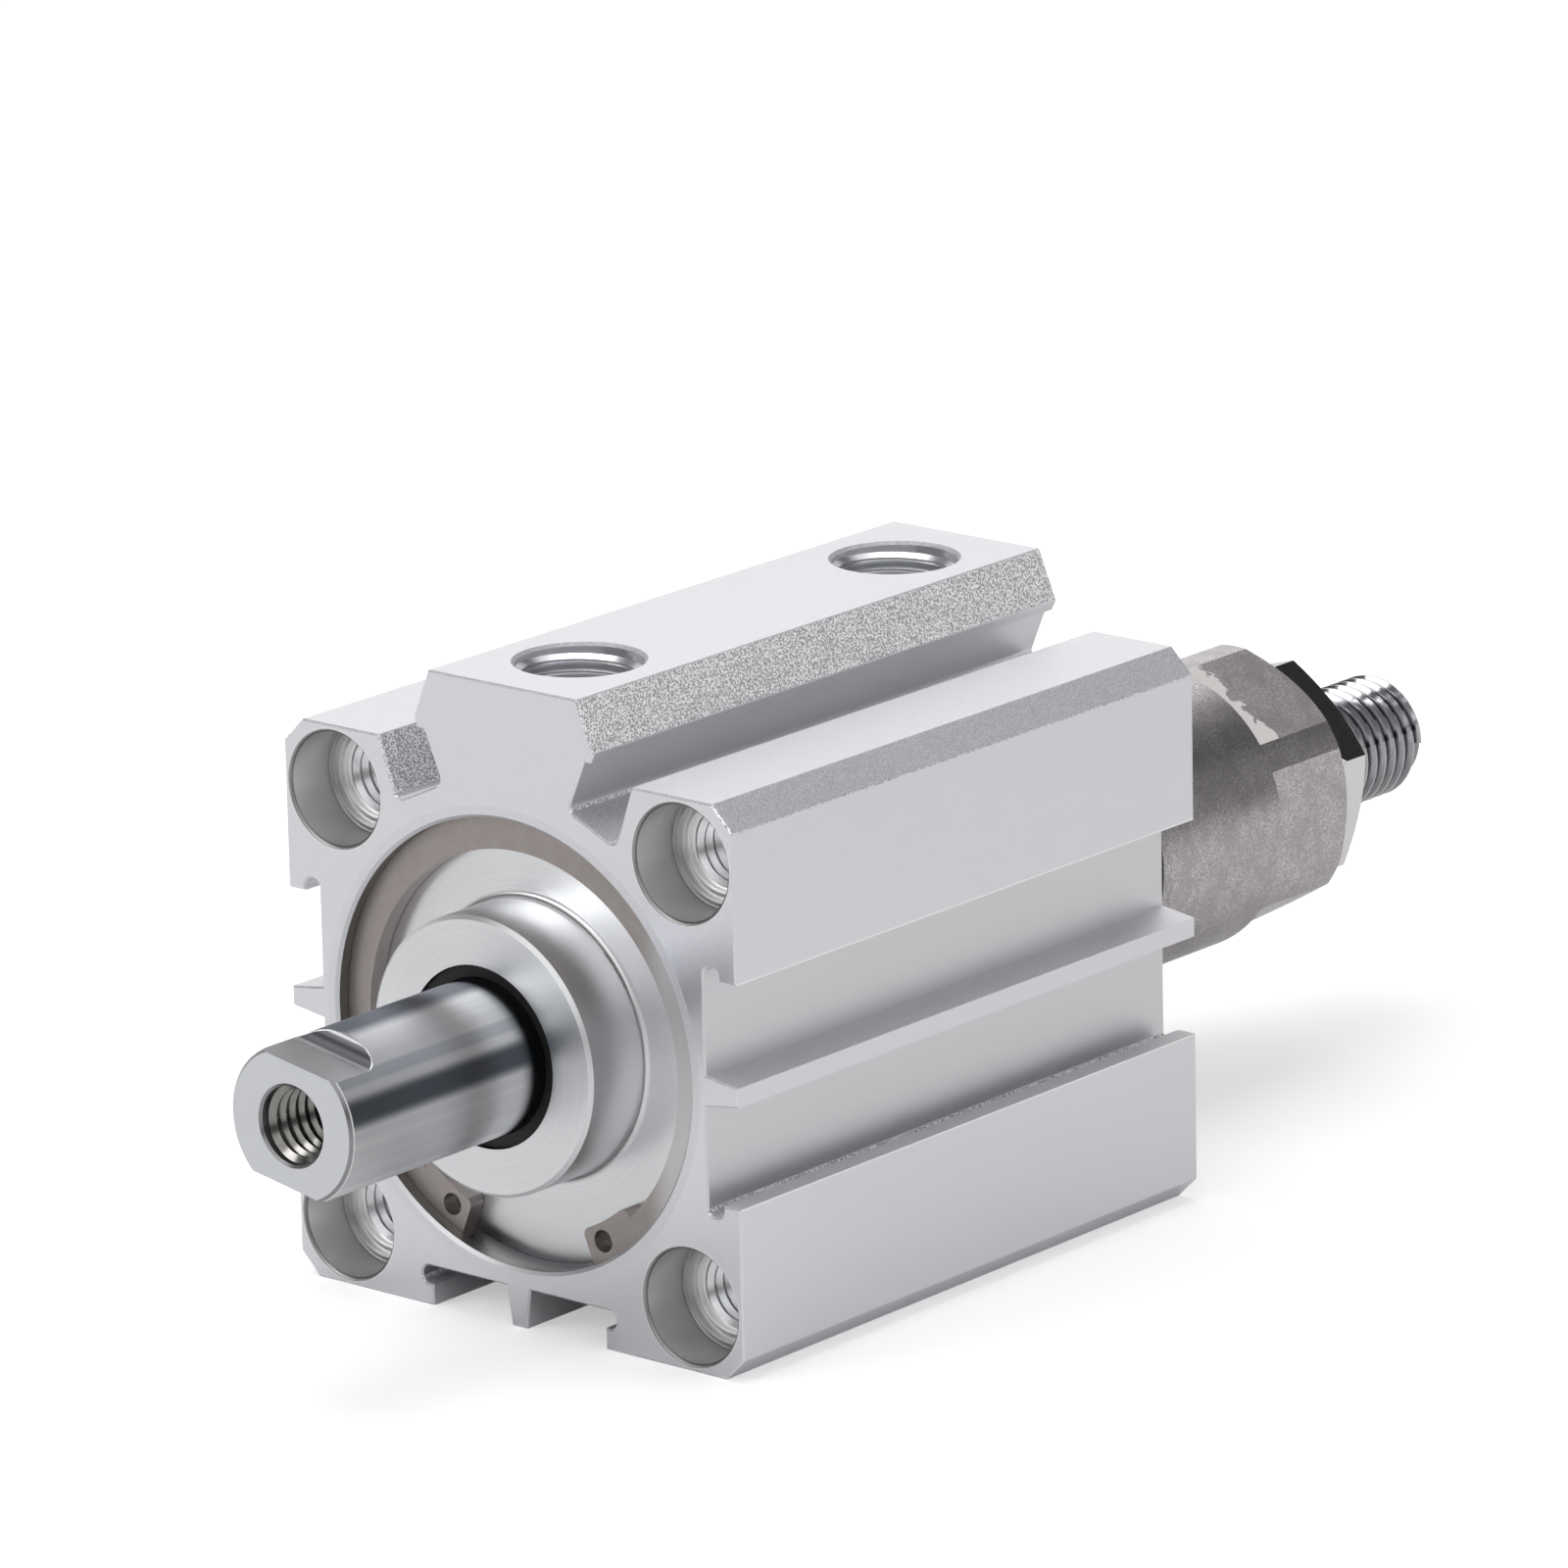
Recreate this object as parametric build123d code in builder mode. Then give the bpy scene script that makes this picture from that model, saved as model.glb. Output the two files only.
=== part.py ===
from build123d import *
import os

# A compact air cylinder with a rod through both ends and a nut that sets its stroke. Millimetres.
# The rod runs along Y, its threaded mouth towards -Y. +Z points to the air ports.
# The origin is on the rod axis, in the front face of the body.
os.makedirs("parts", exist_ok=True)

# Stroke and the pose that is modelled
stroke = 20.0
extension_left = 6.15
stop_gap = 0.2

# Clearances
fixed_fit = 0.05
running_fit = 0.05
open_fit = 0.3
side_play = 0.05
cut_past = 1.0

# Piston
bore_diameter = 32.0
piston_length = 10.5
wear_ring_width = 2.0
wear_ring_wall = 1.7
piston_seal_width = 2.4
piston_seal_wall = 2.7
piston_seal_waist = 0.6
magnet_width = 2.5
magnet_bore = 20.0
magnet_inset = 0.7
retainer_thickness = 1.2
front_land = 0.8
inner_land = 0.7

# End covers
cover_seat_step = 1.4
flange_thickness = 4.0
boss_diameter = 21.6
boss_proud = 3.4
boss_root_radius = 0.5
boss_edge = 0.3
spigot_diameter = 27.0
spigot_length = 4.2
bumper_proud = 0.8
bumper_inner = 17.0
bumper_wall = 1.5
bumper_seat_depth = 1.4
cover_oring_section = 1.4
cover_oring_groove_width = 2.2

# Retaining rings
ring_groove_depth = 0.8
ring_groove_start = 1.2
ring_thickness = 1.5
ring_width = 2.9
ring_offset = 0.45
ring_lug_width = 3.5
ring_lug_hole_inset = 2.15
ring_lug_hole_diameter = 1.75
ring_lug_hole_angle = 28.0
ring_lug_end_angle = 22.0
ring_lug_back_angle = 41.0
ring_lug_round = 0.6

# Rod
rod_diameter = 12.0
rod_reach_retracted = 10.35
rod_end_chamfer = 0.3
rod_thread_diameter = 6.0
rod_thread_depth = 12.0
rod_drill_diameter = 5.0
rod_drill_depth = 15.0
rod_mouth_diameter = 6.4
spanner_width = 9.5
spanner_length = 3.6
spanner_cutter_radius = 1.6
spanner_tilt = 10.0
stud_diameter = 8.0
stud_length = 8.0
stud_oring_section = 1.2
stud_oring_groove_width = 1.8
stud_oring_place = 3.4

# Rod seals and bushes
seal_outer = 16.8
seal_length = 3.7
seal_lip_length = 0.7
seal_mouth_diameter = 14.1
seal_notch_depth = 1.8
seal_notch_width = 0.94
bush_wall = 1.25
bush_length = 7.4
bush_gap = 1.0

# Stroke adjuster and lock nut
adjuster_thread_diameter = 10.0
adjuster_diameter = 23.0
adjuster_length = 24.65
adjuster_hex_width = 21.0
adjuster_hex_length = 10.0
adjuster_edge = 0.5
adjuster_end_chamfer = 1.2
adjuster_relief_diameter = 13.2
adjuster_relief_depth = 8.0
pad_inner = 14.9
pad_outer = 20.3
pad_thickness = 2.5
pad_proud = 0.5
lock_nut_width = 17.0
lock_nut_thickness = 4.5
lock_nut_turn = 16.9
nut_countersink = 0.4
thread_free_length = 13.6
thread_relief_diameter = 8.4
thread_relief_length = 1.8
thread_end_chamfer = 0.8

# Body section
bolt_edge = 5.0
top_edge_chamfer = 1.95
bottom_edge_chamfer = 1.75
port_boss_rise = 5.8
port_boss_width = 14.5
flare_width = 17.7
flare_rise = 1.9
flare_lip = 0.8
flare_lip_inset = 0.4
flare_undercut = 1.0
neck_width = 12.4
neck_drop = 2.8
channel_floor_half = 10.7
channel_depth = 4.9
channel_width = 24.8
channel_round = 0.7
edge_round = 0.2
end_edge = 0.15
slot_opening = 17.1
slot_depth = 3.1
slot_lip_thickness = 1.65
slot_pocket_reach = 1.05
slot_pocket_round = 0.68
slot_rib_root = 2.4
slot_rib_tip = 1.5

# Ports and fixing holes
port_place = 8.8
port_thread_diameter = 9.73
port_thread_depth = 8.0
port_passage_diameter = 3.8
port_edge = 0.25
fixing_head_diameter = 8.8
fixing_head_depth = 4.3
fixing_thread_diameter = 6.0
fixing_thread_depth = 17.0
fixing_through_diameter = 5.2
fixing_cone_depth = 0.9
fixing_head_wall = 1.44
mouth_edge = 0.25

# Sizes that follow from the bore: each step out needs the wall before it
cover_seat_diameter = bore_diameter + 2 * cover_seat_step
ring_groove_diameter = cover_seat_diameter + 2 * ring_groove_depth
bolt_circle_radius = ring_groove_diameter / 2 + fixing_head_wall + fixing_head_diameter / 2
bolt_spacing = bolt_circle_radius * 2**0.5
body_side = bolt_spacing + 2 * bolt_edge

# Lengths and places that follow from the sizes above
flange_start = ring_groove_start + ring_thickness + 2 * side_play
cover_seat_depth = flange_start + flange_thickness
spigot_end = cover_seat_depth + spigot_length
bumper_face = spigot_end + bumper_proud
body_length = 2 * (bumper_face + stop_gap) + piston_length + stroke
body_half = body_side / 2
boss_top = body_half + port_boss_rise
front_tip = -(rod_reach_retracted + stroke - extension_left)
piston_front = bumper_face + stop_gap + extension_left
piston_rear = piston_front + piston_length
rear_cover_face = body_length + boss_proud
pad_face = rear_cover_face + extension_left + stop_gap
adjuster_front = pad_face + pad_proud
adjuster_rear = adjuster_front + adjuster_length
lock_nut_rear = adjuster_rear + lock_nut_thickness
rear_tip = lock_nut_rear + thread_free_length
rod_radius = rod_diameter / 2
bush_inner = rod_radius + running_fit
mid_plane = Plane.XZ.offset(-body_length / 2)
front_face = Plane.XZ
rear_face = Plane(origin=(0, body_length, 0), x_dir=(1, 0, 0), z_dir=(0, 1, 0))


def across(place):
    """Plane square to the rod at this distance behind the front face, facing the front."""
    return Plane.XZ.offset(-place)


def ring_section(inner, outer, start, end, mode=Mode.ADD):
    """Half section of a ring round the rod: radii inner to outer, from start to end along Y."""
    with Locations(((inner + outer) / 2, (start + end) / 2)):
        Rectangle(outer - inner, end - start, mode=mode)


def corner_of(sketch, across_place, along_place):
    """The corner of a section that lies nearest this point of its sketch."""
    return sketch.vertices().sort_by_distance((across_place, along_place, 0))[0]


# Body: one extruded length with a dovetailed port boss, and a pair of sensor slots on three sides
slot_edge = slot_opening / 2
slot_floor = body_half - slot_depth
with BuildSketch() as sensor_slots:
    with BuildLine():
        Polyline(
            (body_half, slot_edge),
            (body_half - slot_lip_thickness, slot_edge),
            (body_half - slot_lip_thickness, slot_edge + slot_pocket_reach),
            (slot_floor, slot_edge + slot_pocket_reach),
            (slot_floor, slot_rib_root / 2),
            (body_half, slot_rib_tip / 2),
            close=True,
        )
    make_face()
    pocket_corners = sensor_slots.vertices().group_by(Axis.Y)[-1]
    fillet(pocket_corners, slot_pocket_round)
    mirror(about=Plane.XZ)


def fixing_hole():
    """A corner hole from one end: head recess, cone, thread and through drilling."""
    head_end = fixing_head_depth + fixing_cone_depth
    Hole(fixing_head_diameter / 2, depth=fixing_head_depth)
    Hole(fixing_thread_diameter / 2, depth=fixing_thread_depth)
    with Locations((0, 0, -head_end)):
        Cone(
            fixing_thread_diameter / 2,
            fixing_head_diameter / 2,
            fixing_cone_depth,
            align=(Align.CENTER, Align.CENTER, Align.MIN),
            mode=Mode.SUBTRACT,
        )


def end_edges(part, radii):
    """The round edges of these radii that lie in the two end faces."""
    rims = part.edges().filter_by(GeomType.CIRCLE)
    rims = rims.filter_by(lambda rim: any(abs(rim.radius - radius) < 0.01 for radius in radii))
    first, last = rims.sort_by(Axis.Y)[0], rims.sort_by(Axis.Y)[-1]
    ends = (first.center().Y, last.center().Y)
    return rims.filter_by(lambda rim: any(abs(rim.center().Y - end) < 0.01 for end in ends))


boss_corner = (port_boss_width / 2, boss_top)
flare_tip = (flare_width / 2, body_half + flare_rise)
neck_foot = (neck_width / 2, body_half - neck_drop)
channel_foot = (channel_floor_half, body_half - channel_depth)
channel_brow = (channel_width / 2, body_half)
upper_edge = ((body_half - top_edge_chamfer, body_half), (body_half, body_half - top_edge_chamfer))
lower_edge = ((body_half, -body_half + bottom_edge_chamfer), (body_half - bottom_edge_chamfer, -body_half))
with BuildPart() as barrel:
    with BuildSketch(Plane.XZ) as body_section:
        with BuildLine():
            Polyline(
                (0, boss_top),
                boss_corner,
                flare_tip,
                (flare_tip[0] - flare_lip_inset, flare_tip[1] - flare_lip),
                (flare_tip[0] - flare_undercut, flare_tip[1] - flare_lip),
                neck_foot,
                channel_foot,
                channel_brow,
                *upper_edge,
                *lower_edge,
                (0, -body_half),
                close=True,
            )
        make_face()
        for foot in (neck_foot, channel_foot):
            fillet(corner_of(body_section, *foot), channel_round)
        for corner in (boss_corner, flare_tip, channel_brow, *upper_edge, *lower_edge):
            fillet(corner_of(body_section, *corner), edge_round)
        mirror(about=Plane.YZ)
        for slot_side in (0, 180, -90):
            add(sensor_slots.sketch_local, rotation=slot_side, mode=Mode.SUBTRACT)
    extrude(amount=-body_length)
    for end in (0, -1):
        chamfer(barrel.faces().sort_by(Axis.Y)[end].outer_wire().edges(), end_edge)
    with Locations(front_face):
        Hole(bore_diameter / 2)
        with GridLocations(bolt_spacing, bolt_spacing, 2, 2):
            Hole(fixing_through_diameter / 2)
    for end_face in (front_face, rear_face):
        with Locations(end_face):
            Hole(cover_seat_diameter / 2, depth=cover_seat_depth)
            with Locations((0, 0, -ring_groove_start)):
                Cylinder(
                    ring_groove_diameter / 2,
                    ring_thickness + 2 * side_play,
                    align=(Align.CENTER, Align.CENTER, Align.MAX),
                    mode=Mode.SUBTRACT,
                )
            with GridLocations(bolt_spacing, bolt_spacing, 2, 2):
                fixing_hole()
    with Locations(Plane.XY.offset(boss_top)):
        with Locations((0, port_place), (0, body_length - port_place)):
            Hole(port_thread_diameter / 2, depth=port_thread_depth)
            Hole(port_passage_diameter / 2, depth=boss_top)
    port_rims = barrel.edges().filter_by(GeomType.CIRCLE).group_by(Axis.Z)[-1]
    chamfer(port_rims, port_edge)
    chamfer(end_edges(barrel, (cover_seat_diameter / 2, fixing_head_diameter / 2)), mouth_edge)
barrel.part.label = "barrel"
export_step(barrel.part, "parts/barrel.step")

# End covers: turned aluminium, held against the step of their seat by a retaining ring
seal_start = -boss_proud + seal_lip_length
seal_end = seal_start + seal_length
bush_start = seal_end + bush_gap
boss_radius = boss_diameter / 2
flange_radius = cover_seat_diameter / 2 - fixed_fit
oring_middle = flange_start + flange_thickness / 2
with BuildPart() as front_cover:
    with BuildSketch(Plane.XY) as cover_section:
        passage = rod_radius + open_fit
        bush_seat = bush_inner + bush_wall + fixed_fit
        groove_half = cover_oring_groove_width / 2
        groove_floor = cover_seat_diameter / 2 - cover_oring_section - fixed_fit
        ring_section(passage, boss_radius, -boss_proud, cover_seat_depth)
        ring_section(passage, flange_radius, flange_start, cover_seat_depth)
        ring_section(passage, spigot_diameter / 2, cover_seat_depth, spigot_end)
        fillet(corner_of(cover_section, boss_radius, flange_start), boss_root_radius)
        chamfer(corner_of(cover_section, boss_radius, -boss_proud), boss_edge)
        cut = Mode.SUBTRACT
        groove_start, groove_end = oring_middle - groove_half, oring_middle + groove_half
        ring_section(groove_floor, flange_radius + cut_past, groove_start, groove_end, cut)
        ring_section(passage, seal_mouth_diameter / 2, -boss_proud, seal_start, cut)
        ring_section(passage, seal_outer / 2 + fixed_fit, seal_start, seal_end + fixed_fit, cut)
        ring_section(passage, bush_seat, bush_start, bush_start + bush_length, cut)
        ring_section(
            bumper_inner / 2 - fixed_fit,
            spigot_diameter / 2 - bumper_wall + fixed_fit,
            spigot_end - bumper_seat_depth,
            spigot_end,
            cut,
        )
    revolve(axis=Axis.Y)
front_cover.part.label = "front_cover"
export_step(front_cover.part, "parts/front_cover.step")

# Seals, bush and bumper that each cover carries
with BuildPart() as front_cover_oring:
    with Locations(across(oring_middle)):
        oring_radius = cover_seat_diameter / 2 - fixed_fit / 2 - cover_oring_section / 2
        Torus(oring_radius, cover_oring_section / 2)
front_cover_oring.part.label = "front_cover_oring"
export_step(front_cover_oring.part, "parts/front_cover_oring.step")

with BuildPart() as front_rod_seal:
    with BuildSketch(Plane.XY):
        lip_outer = seal_mouth_diameter / 2 - fixed_fit
        ring_section(bush_inner, seal_outer / 2, seal_start, seal_end)
        ring_section(bush_inner, lip_outer, seal_start - seal_lip_length / 2, seal_start)
        notch_middle = (bush_inner + seal_outer / 2) / 2
        notch_half = seal_notch_width / 2
        with BuildLine():
            Polyline(
                (notch_middle - notch_half, seal_end),
                (notch_middle, seal_end - seal_notch_depth),
                (notch_middle + notch_half, seal_end),
                close=True,
            )
        make_face(mode=Mode.SUBTRACT)
    revolve(axis=Axis.Y)
front_rod_seal.part.label = "front_rod_seal"
export_step(front_rod_seal.part, "parts/front_rod_seal.step")

with BuildPart() as front_rod_bush:
    with BuildSketch(Plane.XY):
        ring_section(bush_inner, bush_inner + bush_wall, bush_start, bush_start + bush_length)
    revolve(axis=Axis.Y)
front_rod_bush.part.label = "front_rod_bush"
export_step(front_rod_bush.part, "parts/front_rod_bush.step")

with BuildPart() as front_bumper:
    with BuildSketch(Plane.XY) as bumper_section:
        bumper_outer = spigot_diameter / 2 - bumper_wall
        ring_section(bumper_inner / 2, bumper_outer, spigot_end - bumper_seat_depth, bumper_face)
        bumper_rim = bumper_section.vertices().group_by(Axis.Y)[-1]
        fillet(bumper_rim, (bumper_face - spigot_end) / 2)
    revolve(axis=Axis.Y)
front_bumper.part.label = "front_bumper"
export_step(front_bumper.part, "parts/front_bumper.step")

# Retaining ring: eccentric, with two lugs for the pliers at its open end
ring_outer_radius = ring_groove_diameter / 2 - 2 * fixed_fit
lug_inner_radius = ring_outer_radius - ring_lug_width
with BuildPart() as front_retaining_ring:
    with BuildSketch(across(ring_groove_start + side_play)):
        Circle(ring_outer_radius)
        with Locations((0, -ring_offset)):
            Circle(ring_outer_radius - ring_width, mode=Mode.SUBTRACT)
        for side in (-1, 1):
            lug_middle = -90 + side * (ring_lug_end_angle + ring_lug_back_angle) / 2
            lug_span = ring_lug_back_angle - ring_lug_end_angle
            with BuildSketch(mode=Mode.PRIVATE) as lug:
                with BuildLine():
                    start = lug_middle - lug_span / 2
                    inner_arc = CenterArc((0, 0), lug_inner_radius, start, lug_span)
                    outer_arc = CenterArc((0, 0), ring_outer_radius, start, lug_span)
                    Line(inner_arc @ 0, outer_arc @ 0)
                    Line(inner_arc @ 1, outer_arc @ 1)
                make_face()
                inner_corners = lug.vertices().sort_by_distance((0, 0, 0))[:2]
                fillet(inner_corners, ring_lug_round)
            add(lug.sketch_local)
        with BuildSketch(mode=Mode.PRIVATE) as ring_mouth:
            with BuildLine():
                reach = 2 * ring_groove_diameter
                mouth = CenterArc((0, 0), reach, -90 - ring_lug_end_angle, 2 * ring_lug_end_angle)
                Line((0, 0), mouth @ 0)
                Line((0, 0), mouth @ 1)
            make_face()
        add(ring_mouth.sketch_local, mode=Mode.SUBTRACT)
        first_hole, hole_spread = -90 - ring_lug_hole_angle, 2 * ring_lug_hole_angle
        hole_radius = ring_outer_radius - ring_lug_hole_inset
        with PolarLocations(hole_radius, 2, first_hole, hole_spread, endpoint=True):
            Circle(ring_lug_hole_diameter / 2, mode=Mode.SUBTRACT)
    extrude(amount=-ring_thickness)
front_retaining_ring.part.label = "front_retaining_ring"
export_step(front_retaining_ring.part, "parts/front_retaining_ring.step")

# The rear end carries the same set, mirrored about the middle of the body
mirrored_set = {
    "rear_cover": front_cover,
    "rear_cover_oring": front_cover_oring,
    "rear_rod_seal": front_rod_seal,
    "rear_rod_bush": front_rod_bush,
    "rear_bumper": front_bumper,
    "rear_retaining_ring": front_retaining_ring,
}
for rear_name, front_piece in mirrored_set.items():
    with BuildPart() as rear_piece:
        mirror(front_piece.part, about=mid_plane)
    rear_piece.part.label = rear_name
    export_step(rear_piece.part, f"parts/{rear_name}.step")

# Piston: aluminium, with grooves for its guide band and seal, and a hub for the magnet
bore_radius = bore_diameter / 2
piston_radius = bore_radius - open_fit
band_start = piston_front + front_land
band_end = band_start + wear_ring_width + 2 * side_play
seal_groove_start = band_end + inner_land
seal_groove_end = seal_groove_start + piston_seal_width + 2 * side_play
magnet_start = piston_rear - retainer_thickness - magnet_width
stud_hole = stud_diameter / 2 + fixed_fit
ring_reach = bore_radius - running_fit
band_inner = ring_reach - wear_ring_wall
seal_inner = ring_reach - piston_seal_wall
with BuildPart() as piston:
    with BuildSketch(Plane.XY):
        ring_section(stud_hole, piston_radius, piston_front, magnet_start)
        ring_section(stud_hole, magnet_bore / 2, magnet_start, magnet_start + magnet_width)
        cut = Mode.SUBTRACT
        groove_open = piston_radius + cut_past
        ring_section(band_inner - running_fit, groove_open, band_start, band_end, cut)
        ring_section(seal_inner - running_fit, groove_open, seal_groove_start, seal_groove_end, cut)
        stud_groove = piston_front + stud_oring_place
        stud_groove_end = stud_groove + stud_oring_groove_width
        groove_reach = stud_hole + stud_oring_section + fixed_fit
        ring_section(stud_hole, groove_reach, stud_groove, stud_groove_end, cut)
    revolve(axis=Axis.Y)
piston.part.label = "piston"
export_step(piston.part, "parts/piston.step")

with BuildPart() as magnet:
    with BuildSketch(Plane.XY):
        magnet_reach = bore_radius - magnet_inset
        ring_section(magnet_bore / 2 + fixed_fit, magnet_reach, magnet_start, magnet_start + magnet_width)
    revolve(axis=Axis.Y)
magnet.part.label = "magnet"
export_step(magnet.part, "parts/magnet.step")

with BuildPart() as magnet_retainer:
    with BuildSketch(Plane.XY):
        ring_section(stud_hole, piston_radius, piston_rear - retainer_thickness, piston_rear)
    revolve(axis=Axis.Y)
magnet_retainer.part.label = "magnet_retainer"
export_step(magnet_retainer.part, "parts/magnet_retainer.step")

with BuildPart() as wear_ring:
    with BuildSketch(Plane.XY):
        ring_section(band_inner, ring_reach, band_start + side_play, band_end - side_play)
    revolve(axis=Axis.Y)
wear_ring.part.label = "wear_ring"
export_step(wear_ring.part, "parts/wear_ring.step")

with BuildPart() as piston_seal:
    with BuildSketch(Plane.XY):
        ring_section(seal_inner, ring_reach, seal_groove_start + side_play, seal_groove_end - side_play)
        with Locations((ring_reach, (seal_groove_start + seal_groove_end) / 2)):
            Circle(piston_seal_waist, mode=Mode.SUBTRACT)
    revolve(axis=Axis.Y)
piston_seal.part.label = "piston_seal"
export_step(piston_seal.part, "parts/piston_seal.step")

with BuildPart() as stud_oring:
    with Locations(across(piston_front + stud_oring_place + stud_oring_groove_width / 2)):
        Torus(stud_hole + stud_oring_section / 2, stud_oring_section / 2)
stud_oring.part.label = "stud_oring"
export_step(stud_oring.part, "parts/stud_oring.step")

# Front rod: hard chromed, threaded at its mouth, with two flats for a spanner
flat_height = spanner_width / 2
flat_end = front_tip + spanner_length
with BuildPart() as front_rod:
    with BuildSketch(Plane.XY) as rod_section:
        ring_section(0, rod_radius, front_tip, piston_front)
        chamfer(corner_of(rod_section, rod_radius, front_tip), rod_end_chamfer)
    revolve(axis=Axis.Y)
    with Locations(across(front_tip)):
        Hole(rod_thread_diameter / 2, depth=rod_thread_depth)
        Hole(rod_drill_diameter / 2, depth=rod_drill_depth)
    mouth_rim = front_rod.edges().filter_by(GeomType.CIRCLE).group_by(Axis.Y)[0].sort_by(SortBy.RADIUS)[0]
    chamfer(mouth_rim, (rod_mouth_diameter - rod_thread_diameter) / 2)
    with Locations(Plane(origin=(0, piston_front, 0), z_dir=(0, 1, 0))):
        Hole(stud_diameter / 2 + fixed_fit, depth=stud_length + fixed_fit)
    for turn in (spanner_tilt, spanner_tilt + 180):
        cutter_plane = Plane(origin=(0, 0, 0), x_dir=(0, 1, 0), z_dir=Vector(1, 0, 0).rotate(Axis.Y, turn))
        with BuildSketch(cutter_plane):
            with BuildLine():
                top = rod_diameter
                outside = front_tip - cut_past
                arc_end = (flat_end + spanner_cutter_radius, flat_height + spanner_cutter_radius)
                Polyline(
                    (flat_end, flat_height),
                    (outside, flat_height),
                    (outside, top),
                    (arc_end[0], top),
                    arc_end,
                )
                RadiusArc(arc_end, (flat_end, flat_height), spanner_cutter_radius)
            make_face()
        extrude(amount=rod_diameter, both=True, mode=Mode.SUBTRACT)
front_rod.part.label = "front_rod"
export_step(front_rod.part, "parts/front_rod.step")

# Rear rod: a stud clamps the piston to the front rod, and the far end is threaded for the adjuster
thread_radius = adjuster_thread_diameter / 2 - running_fit
with BuildPart() as rear_rod:
    with BuildSketch(Plane.XY) as tail_section:
        smooth_end = pad_face - side_play
        ring_section(0, stud_diameter / 2, piston_front - stud_length, piston_rear)
        ring_section(0, rod_radius, piston_rear, smooth_end)
        ring_section(0, thread_relief_diameter / 2, smooth_end, smooth_end + thread_relief_length)
        ring_section(0, thread_radius, smooth_end + thread_relief_length, rear_tip)
        chamfer(corner_of(tail_section, thread_radius, rear_tip), thread_end_chamfer)
        chamfer(corner_of(tail_section, rod_radius, smooth_end), rod_end_chamfer)
    revolve(axis=Axis.Y)
rear_rod.part.label = "rear_rod"
export_step(rear_rod.part, "parts/rear_rod.step")

# Stroke adjuster: a round steel nut with six spanner flats and a soft pad in its nose
nut_hole = adjuster_thread_diameter / 2 + side_play
with BuildPart() as adjusting_nut:
    with BuildSketch(Plane.XY) as nut_section:
        adjuster_radius = adjuster_diameter / 2
        ring_section(nut_hole, adjuster_radius, adjuster_front, adjuster_rear)
        chamfer(corner_of(nut_section, adjuster_radius, adjuster_rear), adjuster_end_chamfer)
        chamfer(corner_of(nut_section, adjuster_radius, adjuster_front), adjuster_edge)
        ring_section(
            nut_hole,
            adjuster_relief_diameter / 2,
            adjuster_front,
            adjuster_front + adjuster_relief_depth,
            Mode.SUBTRACT,
        )
        ring_section(
            pad_inner / 2 - running_fit,
            pad_outer / 2 + running_fit,
            adjuster_front,
            adjuster_front + pad_thickness - pad_proud,
            Mode.SUBTRACT,
        )
    revolve(axis=Axis.Y)
    with BuildSketch(across(adjuster_rear)):
        Circle(adjuster_diameter)
        RegularPolygon(adjuster_hex_width / 2, 6, major_radius=False, rotation=30, mode=Mode.SUBTRACT)
    extrude(amount=adjuster_hex_length, mode=Mode.SUBTRACT)
adjusting_nut.part.label = "adjusting_nut"
export_step(adjusting_nut.part, "parts/adjusting_nut.step")

with BuildPart() as stop_pad:
    with BuildSketch(Plane.XY) as pad_section:
        ring_section(pad_inner / 2, pad_outer / 2, pad_face, pad_face + pad_thickness)
        fillet(pad_section.vertices().group_by(Axis.Y)[0], pad_proud / 2)
    revolve(axis=Axis.Y)
stop_pad.part.label = "stop_pad"
export_step(stop_pad.part, "parts/stop_pad.step")

with BuildPart() as lock_nut:
    with BuildSketch(across(lock_nut_rear)):
        RegularPolygon(lock_nut_width / 2, 6, major_radius=False, rotation=lock_nut_turn)
    extrude(amount=lock_nut_thickness)
    with BuildSketch(Plane.XY) as nut_round:
        corner_radius = lock_nut_width / 3**0.5
        corner_cut = corner_radius - lock_nut_width / 2
        ring_section(nut_hole, corner_radius, adjuster_rear, lock_nut_rear)
        chamfer(nut_round.vertices().group_by(Axis.X)[-1], corner_cut / 3**0.5, corner_cut)
        chamfer(nut_round.vertices().group_by(Axis.X)[0], nut_countersink)
    revolve(axis=Axis.Y, mode=Mode.INTERSECT)
lock_nut.part.label = "lock_nut"
export_step(lock_nut.part, "parts/lock_nut.step")
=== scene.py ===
import functools
import math

import bpy
from mathutils import Matrix, Vector


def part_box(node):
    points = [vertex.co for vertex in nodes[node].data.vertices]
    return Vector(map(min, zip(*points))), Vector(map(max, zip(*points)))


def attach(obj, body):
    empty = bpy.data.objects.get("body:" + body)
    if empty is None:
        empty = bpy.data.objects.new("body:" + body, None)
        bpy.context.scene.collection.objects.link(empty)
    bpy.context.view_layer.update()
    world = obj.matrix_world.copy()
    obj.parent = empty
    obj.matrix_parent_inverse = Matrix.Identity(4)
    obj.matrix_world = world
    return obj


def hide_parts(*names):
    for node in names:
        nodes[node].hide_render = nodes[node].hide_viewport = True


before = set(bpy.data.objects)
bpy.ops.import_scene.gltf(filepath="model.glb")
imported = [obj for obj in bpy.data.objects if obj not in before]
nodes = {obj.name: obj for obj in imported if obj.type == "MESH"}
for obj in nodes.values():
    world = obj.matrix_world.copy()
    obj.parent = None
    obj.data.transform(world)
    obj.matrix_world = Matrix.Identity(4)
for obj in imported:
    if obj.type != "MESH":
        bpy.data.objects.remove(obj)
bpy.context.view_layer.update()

MM = 0.001

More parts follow.
